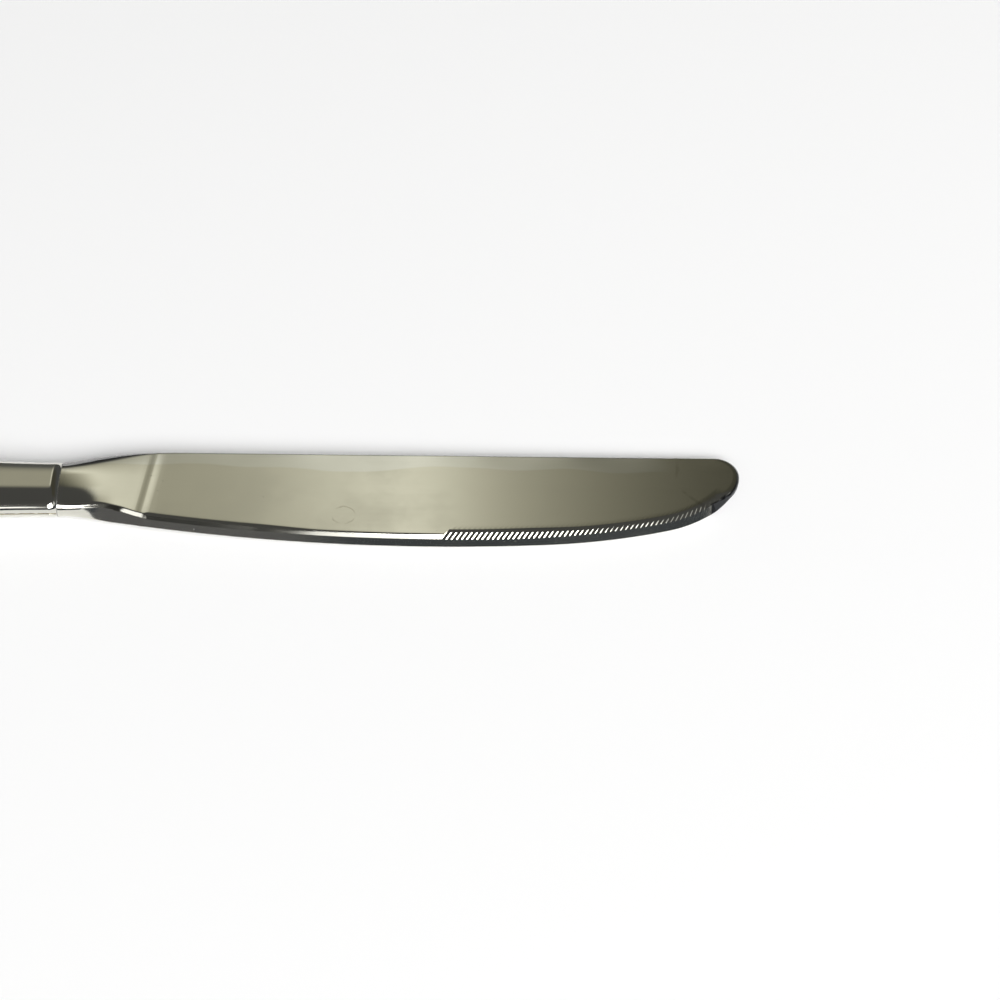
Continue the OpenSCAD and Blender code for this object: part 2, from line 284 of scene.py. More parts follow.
def rounded_corners(x):
    half = forging_half(x)
    radius = mix(nose_round, spine_round, grind(x))
    turns = [math.pi / 2 - math.pi * i / (chain_count - 3) for i in range(chain_count - 2)]
    flat = half - radius
    lifts = [math.copysign(flat, turn) * (abs(turn) > level_turn) for turn in turns]
    corners = [Vector((radius * (1 - math.cos(turn)), lift + radius * math.sin(turn)))
               for turn, lift in zip(turns, lifts)]
    hold = radius + guard_width
    return [Vector((hold, half))] + corners + [Vector((hold, -half))]


print("bevel", round(math.degrees(math.atan2(bevel_depth, bevel_width)), 1), "degrees, band",
      round(math.degrees(math.atan2(blade_thickness - bevel_depth - edge_land, band_width)), 1), "degrees")

# %% Serrations
tooth_count = 55
tooth_pitch = 1.0
tooth_climb = 0.378
tooth_end = 3.8
tooth_sink = 0.06
tooth_guard = 3.9
tooth_slant = math.radians(38)
slant_follow = 0.9
follow_from = math.radians(12)
slant_lead = 14
front_wall_rise = 0.283
wall_share = 0.22
nose_wall_share = 0.15
tooth_first_x = tip_x - tooth_end - (tooth_count - 1) * tooth_pitch


def front_wall(x):
    return tooth_pitch * mix(wall_share, nose_wall_share, front_grind(x))


def crest_sink(x):
    return tooth_sink - front_wall_rise * front_wall(x)


def edge_normal(turn):
    return Vector((-math.sin(turn), math.cos(turn)))


def edge_tangent(turn):
    return Vector((math.cos(turn), math.sin(turn)))


def up_groove(x):
    turn = edge_turn(x)
    slant = tooth_slant - slant_follow * max(0, turn - follow_from)
    groove = Vector((math.sin(slant), math.cos(slant)))
    lead = ease((x - tooth_first_x + slant_lead) / slant_lead)
    way = edge_normal(turn).lerp(groove, lead).normalized()
    return Vector((way.dot(edge_normal(turn)), way.dot(edge_tangent(turn)), 0))


print(tooth_count, "grooves from", round(tooth_first_x, 1), "mm,",
      round(front_wall_rise * front_wall(tooth_first_x), 3), "mm deep")

# %% [markdown]
# Between the flat and the bevel the polishing wheel leaves a roll. It is tight at the neck, broad just ahead
# of the heel and tighter again towards the grooves. The chain of corners below goes down one section of the
# edge: over the roll, down the bevel or the groove to its foot, down the steep band and round the cutting
# edge. The foot of a groove lies on the groove's own straight line, so that the walls stay flat.

# %% Corners of the ground edge
neck_roll = 0.12
heel_roll = 0.75
belly_roll = 0.25
neck_roll_x = heel_x - 0.6
neck_roll_run = 1.2
belly_roll_x = 38
belly_roll_run = 14
first_tooth_roll = 0.5
tooth_roll = 0.9
tooth_roll_run = 25
roll_points = 5
edge_ease = 0.04
edge_points = 3
foot_share = 0.08
band_shares = (0.15, 0.85)
least_way = 0.4
beyond = 2


def roll_at(x):
    along_edge = mix(heel_roll, belly_roll, ease((x - belly_roll_x) / belly_roll_run))
    return mix(neck_roll, along_edge, ease((x - neck_roll_x) / neck_roll_run))


def tooth_roll_at(x):
    return mix(first_tooth_roll, tooth_roll, ease((x - tooth_first_x) / tooth_roll_run))


def ground_corners(x, sink):
    half = forging_half(x)
    band = band_at(x)
    depth = depth_at(x)
    way = up_groove(x)
    inward = Vector((1, 0, 0))
    flat = Vector((0, 0, half))
    edge = Vector((-band, 0, edge_land - half))
    under = Vector((under_inset - band, 0, -half))
    if sink is None:
        roll = roll_at(x)
        foot = Vector((0, 0, half - depth))
        top = flat + bevel_width / max(way.x, least_way) * way
        guard = top + (roll + guard_width) * way
    else:
        roll = tooth_roll_at(x)
        band_climb = (2 * half - depth - edge_land) / band
        start = sink / (tooth_climb - band_climb * way.x)
        foot = start * way + Vector((0, 0, half - depth - sink + tooth_climb * start))
        top = flat + (depth + sink) / tooth_climb * way
        guard = flat + tooth_guard * way
    middle = foot.lerp(top, foot_share)
    rolled = eased_corner(top + beyond * way, top, middle, roll, roll_points)
    steep = [foot.lerp(edge, share) for share in band_shares]
    cutting = eased_corner(foot, edge, under, edge_ease, edge_points)
    below = eased_corner(edge, under, under + beyond * inward, edge_ease, edge_points)
    return [guard] + rolled + [middle, foot] + steep + cutting + below + [under + guard_width * inward]


print("roll is", roll_at(0), "mm at the neck and", round(roll_at(tooth_first_x), 2), "mm at the grooves")

# %% [markdown]
# A section of the forging is one closed ring of points: down the edge, under the blade, up the spine and
# back over the flat. On the blade it is flat with ground edges, at the mouth it is oval, and the two are
# mixed along the bolster. Each ring keeps the same count of points, so that rings can be joined by
# extruding one into the next.

# %% Rings of the forging
chain_angle = 40
edge_place = 11
face_shares = [0.2, 0.4, 0.6, 0.8]


def edge_chain(x, sink):
    at = slanted(x, edge_y(x))
    turn = 0 if at < heel_x else edge_turn(at)
    normal = edge_normal(turn)
    corner = Vector((at, edge_y(at)))
    chain = []
    for ground, plain in zip(ground_corners(x, sink), rounded_corners(x)):
        spot = corner + (band_at(x) + ground.x) * normal + ground.y * edge_tangent(turn)
        spot = (corner + plain.x * normal).lerp(spot, grind(x))
        chain.append(Vector((spot.x, spot.y, mix(plain.y, ground.z, grind(x)))))
    return chain


def spine_chain(x):
    at = slanted(x, spine_y(x))
    turn = corner_turn(at)
    return [Vector((at - p.x * math.sin(turn), spine_y(at) - p.x * math.cos(turn), p.y))
            for p in rounded_corners(x)]


def blade_ring(x, sink):
    edge = edge_chain(x, sink)
    spine = spine_chain(x)[::-1]
    return (edge + [edge[-1].lerp(spine[0], share) for share in face_shares]
            + spine + [spine[-1].lerp(edge[0], share) for share in face_shares])


def ring_angles():
    last = chain_count - 1
    side = [mix(-chain_angle, chain_angle, i / last) for i in range(chain_count)]
    down = [mix(-chain_angle, 0, i / edge_place) for i in range(edge_place)]
    rise = last - edge_place
    up = [mix(0, chain_angle, i / rise) for i in range(rise + 1)]
    under = [mix(180 + chain_angle, 360 - chain_angle, share) for share in face_shares]
    over = [mix(chain_angle, 180 - chain_angle, share) for share in face_shares]
    return [180 + a for a in down + up] + under + side + over


def neck_ring(x):
    low, high = edge_y(x), spine_y(x)
    sections = [oval((low + high) / 2, (high - low) / 2, forging_half(x), a) for a in ring_angles()]
    return [Vector((slanted(x, y), y, z)) for y, z in sections]


def forging_ring(x, sink=None):
    edge_share = ease(1 - x / oval_start)
    spine_share = ease(1 - x / spine_oval_start)
    across = [mix(edge_share, spine_share, share) for share in face_shares]
    shares = [edge_share] * chain_count + across + [spine_share] * chain_count + across[::-1]
    return [a.lerp(b, share) for a, b, share in zip(blade_ring(x, sink), neck_ring(x), shares)]


print("each ring has", len(forging_ring(heel_x)), "points")

# %% [markdown]
# The stations are close where the shape turns fast: at the shoulder, at each groove and round the nose.
# Behind the mouth the same ring draws in to the spigot and then to the flat tang with its two pairs of
# notches, which key it into the cement inside the handle.

# %% Stations of the tang and the spigot
spigot_length = 4
tang_length = 52
tang_width = 7.4
tang_end_width = 5.8
tang_thickness = 2.2
tang_power = 14
notch_radius = 1.1
notch_shares = (0.45, 0.75)
notch_step = 22
handle_wall = 0.8
fit_gap = 0.05
tang_root_x = 1 - spigot_length
tang_end_x = -spigot_length - tang_length
notches = [mix(tang_root_x, tang_end_x, share) for share in notch_shares]


def tang_ring(x):
    half = mix(tang_width, tang_end_width, (x - tang_root_x) / (tang_end_x - tang_root_x)) / 2
    for notch_x in notches:
        half -= math.sqrt(max(0, notch_radius ** 2 - (x - notch_x) ** 2))
    return [Vector((x, *oval(neck_rise, half, tang_thickness / 2, a, tang_power))) for a in ring_angles()]


def spigot_ring(x):
    inset = handle_wall + fit_gap
    return [Vector((x, *oval(neck_rise, neck_width / 2 - inset, neck_thickness / 2 - inset, a)))
            for a in ring_angles()]


notch_turns = [math.radians(a) for a in range(-90, 91, notch_step)]
tang_stations = [x + notch_radius * math.sin(turn) for x in notches for turn in notch_turns]
tang_stations = sorted([tang_end_x, -spigot_length] + tang_stations)
rings = [tang_ring(x) for x in tang_stations] + [spigot_ring(-spigot_length), spigot_ring(0)]
print(len(rings), "rings along the tang and the spigot")

# %% Stations of the forging
first_gap = 0.02
nose_gap = 0.1
nose_steps = 15
first_floor = tooth_first_x - tooth_pitch
first_crest = tooth_first_x - front_wall(tooth_first_x)
plain_end = first_floor - first_gap
valley_end = valley_x - shoulder_ease


def span(start, end, count):
    return [mix(start, end, i / count) for i in range(count)]


neck_stations = span(0, valley_end, 22) + span(valley_end, shoulder_back, 10)
heel_stations = span(shoulder_back, shoulder_front, 16) + span(shoulder_front, plain_end, 34)
rings += [forging_ring(x) for x in neck_stations + heel_stations + [plain_end]]
rings.append(forging_ring(first_floor, tooth_sink))
rings.append(forging_ring(first_crest, crest_sink(first_crest)))
for i in range(tooth_count):
    floor_x = tooth_first_x + i * tooth_pitch
    rings.append(forging_ring(floor_x, tooth_sink))
    crest_x = floor_x + tooth_pitch - front_wall(floor_x)
    rings.append(forging_ring(crest_x, crest_sink(crest_x)))
nose_turns = [mix(nose_turn, math.pi / 2, i / nose_steps) for i in range(nose_steps + 1)]
nose_stations = span(crest_x + nose_gap, nose_start, 4)
nose_stations += [nose_centre.x + nose_radius * math.sin(turn) for turn in nose_turns]
rings += [forging_ring(x, crest_sink(x)) for x in nose_stations]
print(len(rings), "rings along the forging")

# %% Extrude ring into ring
weld_distance = 2e-7
groove_crease = 13.2


def place(verts, ring):
    for vert, spot in zip(verts, ring):
        vert.co = lay(*spot)


def extrude_on(bm, verts, edges):
    made = bmesh.ops.extrude_edge_only(bm, edges=edges)["geom"]
    fresh = {v for v in made if isinstance(v, bmesh.types.BMVert)}
    ahead = [next(e.other_vert(v) for e in v.link_edges if e.other_vert(v) in fresh) for v in verts]
    rim = [e for e in made if isinstance(e, bmesh.types.BMEdge) and all(v in fresh for v in e.verts)]
    return ahead, rim


def finished(bm, name, sharp_angle):
    mesh = bpy.data.meshes.new(name)
    bm.to_mesh(mesh)
    bm.free()
    mesh.shade_smooth()
    mesh.set_sharp_from_angle(angle=math.radians(sharp_angle))
    piece = bpy.data.objects.new(name, mesh)
    bpy.context.scene.collection.objects.link(piece)
    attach(piece, "root")
    print(name, "has", len(mesh.vertices), "vertices and", len(mesh.polygons), "faces")
    return piece


bm = bmesh.new()
ring_verts = bmesh.ops.create_circle(bm, cap_ends=True, segments=len(rings[0]), radius=MM)["verts"]
ring_edges = list({e for v in ring_verts for e in v.link_edges})
place(ring_verts, rings[0])
for ring in rings[1:]:
    ring_verts, ring_edges = extrude_on(bm, ring_verts, ring_edges)
    place(ring_verts, ring)
bmesh.ops.remove_doubles(bm, verts=bm.verts, dist=weld_distance)
bmesh.ops.recalc_face_normals(bm, faces=bm.faces)
blade = finished(bm, "polished_blade", groove_crease)
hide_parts("blade")

# %% [markdown]
# Each half of the handle is a pressed shell with the seam plane as its rim. Its outer skin is extruded
# from the mouth to the butt as an open arch, the last arch is merged to close the dome, and the wall is
# then given its thickness inwards, as the press leaves it.

# %% Arches of the handle
handle_length = 104
handle_width = 20.6
handle_thickness = 9.4
swell_from_butt = 26
butt_rise = 0.4
dome_width_power = 2.3
dome_depth_power = 2.1
seam_thickness = 0.16
solder_thickness = 0.16
swell_x = swell_from_butt - handle_length
arch_count = 41


def swell(x):
    return ease(min(0, x) / swell_x)


def dome(x, power):
    return 1 if x > swell_x else max(0, 1 - ((swell_x - x) / swell_from_butt) ** power) ** (1 / power)


def arch(x, side):
    middle = mix(neck_rise, butt_rise, swell(x))
    a = mix(neck_width, handle_width, swell(x)) / 2 * dome(x, dome_width_power)
    b = mix(neck_thickness, handle_thickness, swell(x)) / 2 * dome(x, dome_depth_power)
    sections = [oval(middle, a, b, 180 * i / (arch_count - 1)) for i in range(arch_count)]
    return [Vector((x, y, side * max(z, seam_thickness / 2))) for y, z in sections]


handle_stations = span(-solder_thickness, swell_x, 44)
handle_stations += [swell_x - swell_from_butt * math.sin(math.radians(t)) for t in range(0, 90, 3)]
print(len(handle_stations), "arches on each half")

# %% Press each half
shell_crease = 40


def press_half(name, node, side):
    bm = bmesh.new()
    arch_verts = bmesh.ops.create_circle(bm, segments=arch_count, radius=MM)["verts"]
    closing = next(e for e in arch_verts[0].link_edges if arch_verts[-1] in e.verts)
    bmesh.ops.delete(bm, geom=[closing], context="EDGES_FACES")
    arch_edges = list(bm.edges)
    place(arch_verts, arch(handle_stations[0], side))
    for x in handle_stations[1:]:
        arch_verts, arch_edges = extrude_on(bm, arch_verts, arch_edges)
        place(arch_verts, arch(x, side))
    butt = lay(-handle_length, butt_rise, side * seam_thickness / 2)
    bmesh.ops.pointmerge(bm, verts=arch_verts, merge_co=butt)
    bmesh.ops.recalc_face_normals(bm, faces=bm.faces)
    outward = sum(f.calc_area() * f.normal.z for f in bm.faces) * side
    if outward < 0:
        bmesh.ops.reverse_faces(bm, faces=bm.faces)
    half = finished(bm, name, shell_crease)
    wall = half.modifiers.new("wall", "SOLIDIFY")
    wall.thickness = handle_wall * MM
    wall.offset = -1
    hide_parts(node)
    return half


right_half = press_half("handle_half_right", "handle_shell_right", 1)
left_half = press_half("handle_half_left", "handle_shell_left", -1)

# %% [markdown]
# Polished steel is never one even colour. Fine polishing lines run along the knife, fingers and drying
# water leave faint patches, and use leaves a few pits. The blade and the handle share these effects, so
# each is a node group: it puts out masks, and both steels decide how much of them they show.

# %% Node helpers
def new_group(name, inputs, outputs):
    group = bpy.data.node_groups.new(name, "ShaderNodeTree")
    for label, value in inputs.items():
        socket = group.interface.new_socket(label, in_out="INPUT", socket_type="NodeSocketFloat")
        socket.default_value = value
    for label in outputs:
        group.interface.new_socket(label, in_out="OUTPUT", socket_type="NodeSocketFloat")
    return group, group.nodes.new("NodeGroupInput"), group.nodes.new("NodeGroupOutput")


def add(tree, kind, **settings):
    node = tree.nodes.new(kind)
    for key, value in settings.items():
        setattr(node, key, value)
    return node


def feed(tree, socket, value):
    if isinstance(value, bpy.types.NodeSocket):
        tree.links.new(value, socket)
    else:
        socket.default_value = value


def math_node(tree, operation, first, second=None, clamp=False):
    node = add(tree, "ShaderNodeMath", operation=operation, use_clamp=clamp)
    feed(tree, node.inputs[0], first)
    if second is not None:
        feed(tree, node.inputs[1], second)
    return node.outputs[0]


def times(tree, first, second):
    return math_node(tree, "MULTIPLY", first, second)


def minus(tree, first, second):
    return math_node(tree, "SUBTRACT", first, second)


def ramp_node(tree, value, low, high, to_low=0.0, to_high=1.0):
    node = add(tree, "ShaderNodeMapRange", interpolation_type="SMOOTHSTEP")
    levels = {"Value": value, "From Min": low, "From Max": high, "To Min": to_low, "To Max": to_high}
    for label, level in levels.items():
        feed(tree, node.inputs[label], level)
    return node.outputs["Result"]


def noise_node(tree, vector, scale, detail=3.0, stretch=(1, 1, 1), shift=(0, 0, 0)):
    mapping = add(tree, "ShaderNodeMapping")
    mapping.inputs["Scale"].default_value = stretch
    mapping.inputs["Location"].default_value = shift
    tree.links.new(vector, mapping.inputs["Vector"])
    noise = add(tree, "ShaderNodeTexNoise")
    noise.inputs["Detail"].default_value = detail
    feed(tree, noise.inputs["Scale"], scale)
    tree.links.new(mapping.outputs[0], noise.inputs["Vector"])
    return noise.outputs[0]


def stain(tree, under, colour, amount):
    layer = add(tree, "ShaderNodeMix", data_type="RGBA")
    feed(tree, layer.inputs["A"], under)
    feed(tree, layer.inputs["B"], colour)
    feed(tree, layer.inputs["Factor"], amount)
    return layer.outputs["Result"]


print("helpers for node trees are ready")

# %% Polishing lines and handling marks
smudge_range = (0.42, 0.72)
pit_gather = (0.52, 0.62)

polish_lines, given, result = new_group("polish_lines", {"Fineness": 900.0, "Depth": 0.5}, ["Lines"])
place_in = add(polish_lines, "ShaderNodeTexCoord").outputs["Object"]
streak = noise_node(polish_lines, place_in, given.outputs["Fineness"], 4.0, stretch=(0.03, 1, 1))
line_mask = times(polish_lines, minus(polish_lines, streak, 0.5), given.outputs["Depth"])
polish_lines.links.new(line_mask, result.inputs["Lines"])

handling_marks, given, result = new_group(
    "handling_marks", {"Patch size": 60.0, "Pit spacing": 260.0, "Pit size": 0.1}, ["Smudge", "Pit"])
place_in = add(handling_marks, "ShaderNodeTexCoord").outputs["Object"]
patch = noise_node(handling_marks, place_in, given.outputs["Patch size"], 5.0)
handling_marks.links.new(ramp_node(handling_marks, patch, *smudge_range), result.inputs["Smudge"])
pits = add(handling_marks, "ShaderNodeTexVoronoi")
handling_marks.links.new(place_in, pits.inputs["Vector"])
handling_marks.links.new(given.outputs["Pit spacing"], pits.inputs["Scale"])
spot = ramp_node(handling_marks, pits.outputs["Distance"], given.outputs["Pit size"], 0.0)
gather = noise_node(handling_marks, place_in, 90.0, 2.0, shift=(3, 7, 1))
sparse = ramp_node(handling_marks, gather, *pit_gather)
handling_marks.links.new(times(handling_marks, spot, sparse), result.inputs["Pit"])
print("groups:", polish_lines.name, handling_marks.name)

# %% Polished steel
smudge_tint = 0.16
smudge_gloss = 0.05
line_gloss = 0.08
pit_gloss = 0.3


def steel_material(name, base, worn, rough, lines, marks):
    material = bpy.data.materials.new(name)
    material.use_nodes = True
    tree = material.node_tree
    shader = tree.nodes["Principled BSDF"]
    shader.inputs["Metallic"].default_value = 1.0
    grain = add(tree, "ShaderNodeGroup", node_tree=polish_lines)
    wear = add(tree, "ShaderNodeGroup", node_tree=handling_marks)
    for node, values in ((grain, lines), (wear, marks)):
        for label, value in values.items():
            node.inputs[label].default_value = value
    smudge, pit = wear.outputs["Smudge"], wear.outputs["Pit"]
    amount = math_node(tree, "MAXIMUM", times(tree, smudge, smudge_tint), pit, clamp=True)
    colour = stain(tree, base, worn, amount)
    tree.links.new(colour, shader.inputs["Base Color"])
    gloss = times(tree, smudge, smudge_gloss)
    gloss = math_node(tree, "ADD", gloss, times(tree, grain.outputs["Lines"], line_gloss))
    gloss = math_node(tree, "ADD", gloss, times(tree, pit, pit_gloss))
    tree.links.new(math_node(tree, "ADD", gloss, rough, clamp=True), shader.inputs["Roughness"])
    return material, tree, shader, colour, grain.outputs["Lines"]


def bump_node(tree, shader, height, strength, distance):
    bump = add(tree, "ShaderNodeBump")
    bump.inputs["Strength"].default_value = strength
    bump.inputs["Distance"].default_value = distance
    tree.links.new(height, bump.inputs["Height"])
    tree.links.new(bump.outputs["Normal"], shader.inputs["Normal"])


handle_steel, tree, shader, colour, lines = steel_material(
    "handle_steel", (0.71, 0.70, 0.64, 1), (0.45, 0.44, 0.39, 1), 0.08,
    {"Fineness": 600.0, "Depth": 0.4}, {"Patch size": 45.0, "Pit spacing": 300.0, "Pit size": 0.07})
bump_node(tree, shader, lines, 0.6, 2e-7)
for half in (right_half, left_half):
    half.data.materials.append(handle_steel)
print("handle steel:", len(tree.nodes), "nodes")

# %% [markdown]
# The blade is mirror-polished stainless steel. Towards the spine the polishing wheel has rolled the flat
# over by a few degrees along a wavy line, and it rolls off the neck's upper corner too. Both are heights on
# Object coordinates, so they stay with the knife in every view. They are too slight to be worth modelling.

# %% Blade steel
wave_height = 0.006
roll_line = 0.0068
roll_bend = -6.0
corner_slope = 0.31
corner_bend = -70.0
line_height = 2e-7

blade_steel, tree, shader, colour, lines = steel_material(
    "blade_steel", (0.70, 0.69, 0.62, 1), (0.42, 0.41, 0.36, 1), 0.09,
    {"Fineness": 700.0, "Depth": 0.5}, {"Patch size": 70.0, "Pit spacing": 420.0, "Pit size": 0.09})
blade.data.materials.append(blade_steel)
spot_in = add(tree, "ShaderNodeTexCoord").outputs["Object"]
axes = add(tree, "ShaderNodeSeparateXYZ")
tree.links.new(spot_in, axes.inputs[0])
along_x, across_y = axes.outputs["X"], axes.outputs["Y"]

wave = noise_node(tree, spot_in, 38.0, 1.0, stretch=(1, 0.15, 0.15))
wave = times(tree, minus(tree, wave, 0.5), wave_height)
past = minus(tree, math_node(tree, "ADD", across_y, wave), roll_line)
past = math_node(tree, "MAXIMUM", past, 0.0)
roll = times(tree, math_node(tree, "POWER", past, 2.0), roll_bend)

corner_end = lay(heel_x + 2.5, blade_width / 2, blade_half)
behind_end = times(tree, minus(tree, along_x, corner_end.x), corner_slope)
corner = minus(tree, minus(tree, across_y, corner_end.y), behind_end)
corner = math_node(tree, "MAXIMUM", corner, 0.0)
fall = times(tree, math_node(tree, "POWER", corner, 2.0), corner_bend)

height = math_node(tree, "ADD", math_node(tree, "ADD", roll, fall), times(tree, lines, line_height))
bump_node(tree, shader, height, 1.0, 1.0)
print("blade steel:", len(tree.nodes), "nodes")

# %% [markdown]
# Use leaves its colours on the blade: a drop has dried to a broken ring near the belly, and a scuff crosses
# the nose.
# The rolled strip is painted a little paler, as a painted sheen. The side of the nose and the neck's upper
# corner are painted darker, as painted shade.

# %% Stains, painted sheen and painted shade on the blade
# The rolled strip's colour is a painted sheen; the corner's and the nose's colours are painted shade.
rolled_sheen_colour = (0.74, 0.745, 0.715, 1)
mark_colour = (0.40, 0.38, 0.31, 1)
corner_shade_colour = (0.12, 0.12, 0.125, 1)
nose_shade_colour = (0.05, 0.052, 0.055, 1)
ring_share = 0.6
scuff_share = 0.35
mark_share = 0.75
corner_shade_amount = 0.85
wobble_width = 0.0011
patch_range = (0.38, 0.6)
rim_share = 0.2
rolled_sheen_range = (0.0, 0.0006)
rolled_sheen_end = (0.107, 0.100)
corner_shade_range = (0.0001, 0.0009)
rim_depth = 0.0003
nose_rim_depth = 0.00002
rim_fade = 0.0003

wobble = noise_node(tree, spot_in, 420.0, 3.0)
wobble = times(tree, minus(tree, wobble, 0.5), wobble_width)
patchy = ramp_node(tree, noise_node(tree, spot_in, 300.0, 2.0, shift=(5, 2, 0)), *patch_range)


def drop_mark(tree, centre, radius, width):
    gap = add(tree, "ShaderNodeVectorMath", operation="DISTANCE")
    tree.links.new(spot_in, gap.inputs[0])
    gap.inputs[1].default_value = centre
    away = math_node(tree, "ADD", gap.outputs["Value"], wobble)
    rim = math_node(tree, "ABSOLUTE", minus(tree, away, radius))
    return times(tree, ramp_node(tree, rim, width, rim_share * width), patchy)


def behind_nose(distance):
    return lay(nose_start - distance, 0, 0).x


# Painted sheen: the rolled strip along the spine is painted paler, fading out towards the nose.
rolled = times(tree, ramp_node(tree, past, *rolled_sheen_range), ramp_node(tree, along_x, *rolled_sheen_end))
ring = drop_mark(tree, lay(55.8, -5.1, blade_half), radius=0.0022, width=0.00025)
scuff = drop_mark(tree, lay(130.8, 6.8, blade_half), radius=0.0094, width=0.0006)
marks = math_node(tree, "MAXIMUM", times(tree, ring, ring_share), times(tree, scuff, scuff_share))
# Painted shade: the neck's upper corner is painted dark.
painted_corner_shade = times(tree, ramp_node(tree, corner, *corner_shade_range), corner_shade_amount)

# Painted shade: the side of the nose, below the rim of the flat, is painted nearly black.
up_level = add(tree, "ShaderNodeVectorMath", operation="DOT_PRODUCT")
tree.links.new(spot_in, up_level.inputs[0])
up_level.inputs[1].default_value = upward
flat_level = upward.dot(lay(0, 0, blade_half))
rim = ramp_node(tree, along_x, behind_nose(3), behind_nose(1.6),
                flat_level - rim_depth, flat_level - nose_rim_depth)
below_rim = ramp_node(tree, up_level.outputs["Value"], rim, minus(tree, rim, rim_fade))
painted_nose_shade = times(tree, below_rim, ramp_node(tree, along_x, behind_nose(4.7), behind_nose(4.1)))

# The paler rolled strip is a painted sheen, the dark corner and nose side are painted shade; the ring and
# the scuff are real marks.
colour = stain(tree, colour, rolled_sheen_colour, rolled)
colour = stain(tree, colour, mark_colour, times(tree, marks, mark_share))
colour = stain(tree, colour, corner_shade_colour, painted_corner_shade)
colour = stain(tree, colour, nose_shade_colour, painted_nose_shade)
tree.links.new(colour, shader.inputs["Base Color"])
print("blade steel with its stains:", len(tree.nodes), "nodes")

# %% [markdown]
# The braze, the solder and the cement keep their CAD solids, which already have the right shape. Braze and
# solder show only as hairlines and are softer, rougher metal; the cement is a matt, grainy filler that
# nobody sees unless the handle is opened.

# %% Joints and filler
worn_range = (0.35, 0.7)
gloss_range = (0.2, 0.8)
rough_spread = 0.1
joint_bump_strength = 0.4
joint_bump_distance = 0.0001


def joint_material(name, base, worn, metallic, rough, grain_scale):
    material = bpy.data.materials.new(name)
    material.use_nodes = True
    tree = material.node_tree
    shader = tree.nodes["Principled BSDF"]
    shader.inputs["Metallic"].default_value = metallic
    spot_in = add(tree, "ShaderNodeTexCoord").outputs["Object"]
    grain = noise_node(tree, spot_in, grain_scale, 6.0)
    colour = stain(tree, base, worn, ramp_node(tree, grain, *worn_range))
    tree.links.new(colour, shader.inputs["Base Color"])
    gloss = ramp_node(tree, grain, *gloss_range, rough - rough_spread, rough + rough_spread)
    tree.links.new(gloss, shader.inputs["Roughness"])
    bump_node(tree, shader, grain, joint_bump_strength, joint_bump_distance)
    return material


joint_finishes = {
    "seam_braze": ((0.64, 0.58, 0.42, 1), (0.42, 0.37, 0.26, 1), 1.0, 0.3, 1500.0),
    "mouth_solder": ((0.50, 0.50, 0.48, 1), (0.30, 0.30, 0.29, 1), 1.0, 0.35, 1500.0),
    "handle_cement": ((0.60, 0.53, 0.41, 1), (0.42, 0.36, 0.27, 1), 0.0, 0.85, 700.0),
}
for node, finish in joint_finishes.items():
    slots = frame["nodes"][node].data.materials
    slots.clear()
    slots.append(joint_material(node, *finish))
    print(node, "gets", slots[0].name)

# %% [markdown]
# Steel shows its surroundings, so the studio is part of the look. The table is plain and pale. The flat of
# the blade mirrors what is behind the table at about fifty degrees up: a warm, dim wall with a soft glow,
# which falls to dusk lower down. The ground edge mirrors what is in front: a dim room, dark low down, where
# the band along the edge looks, and darkest in a gap to the left, where the bevel near the heel looks.

# %% Table
table = bpy.data.meshes.new("table")
bm = bmesh.new()
bmesh.ops.create_grid(bm, x_segments=1, y_segments=1, size=6.0)
bm.to_mesh(table)
bm.free()
table = bpy.data.objects.new("table", table)
bpy.context.scene.collection.objects.link(table)
table_paint = bpy.data.materials.new("table_paint")
table_paint.use_nodes = True
paint = table_paint.node_tree.nodes["Principled BSDF"]
paint.inputs["Base Color"].default_value = (0.93, 0.93, 0.935, 1)
paint.inputs["Roughness"].default_value = 0.9
paint.inputs["Specular IOR Level"].default_value = 0.0
table.data.materials.append(table_paint)
print("table is", [round(side, 1) for side in table.dimensions], "m")

# %% Wall behind the table
world = bpy.data.worlds.new("room")
bpy.context.scene.world = world
world.use_nodes = True
tree = world.node_tree
toward = add(tree, "ShaderNodeTexCoord").outputs["Generated"]
axes = add(tree, "ShaderNodeSeparateXYZ")
tree.links.new(toward, axes.inputs[0])
side_x, back_y, up_z = axes.outputs

dim_tint = (1, 0.96, 0.71)
bright_tint = (1, 0.985, 0.85)
dusk_colour = (0.075, 0.078, 0.08, 1)
dusk_fall = (0.66, 0.3, 0.0, 0.9)
middle_stop = 0.5
stops = [(-0.3, 0.16), (-0.16, 0.39), (-0.085, 0.455), (-0.014, 0.95), (0.001, 0.82), (0.014, 0.6),
         (0.031, 0.43), (0.065, 0.245), (0.1, 0.13), (0.133, 0.065), (0.3, 0.06)]
glow = add(tree, "ShaderNodeValToRGB")
glow.color_ramp.interpolation = "LINEAR"
for number, (sideways, level) in enumerate(stops):
    element = glow.color_ramp.elements[number] if number < 2 else glow.color_ramp.elements.new(1.0)
    element.position = sideways + middle_stop
    element.color = [mix(dim, bright, level) * level for dim, bright in zip(dim_tint, bright_tint)] + [1]
tree.links.new(math_node(tree, "ADD", side_x, middle_stop), glow.inputs[0])
back_wall = stain(tree, glow.outputs[0], dusk_colour, ramp_node(tree, up_z, *dusk_fall))
print("glow has", len(glow.color_ramp.elements), "stops")

# %% Room in front of the table
ceiling_colour = (0.07, 0.07, 0.068, 1)
wall_colour = (0.20, 0.197, 0.18, 1)
low_colour = (0.055, 0.062, 0.070, 1)
left_colour = (0.12, 0.12, 0.124, 1)
gap_colour = (0.02, 0.02, 0.018, 1)
wall_top = (0.75, 0.25)
wall_right = (0.75, 0.2, 0.3, 1.0)
right_share = 0.3
front_share = 0.83
front_range = (0.15, 0.5)
low_top = (0.42, 0.32)
left_side = (-0.13, -0.19)
gap_right = (-0.15, -0.21)
gap_left = (-0.47, -0.40)
gap_foot = (0.36, 0.44)
gap_front = (-0.45, -0.6)
back_range = (0.1, 0.35)
back_top = (0.86, 0.80)

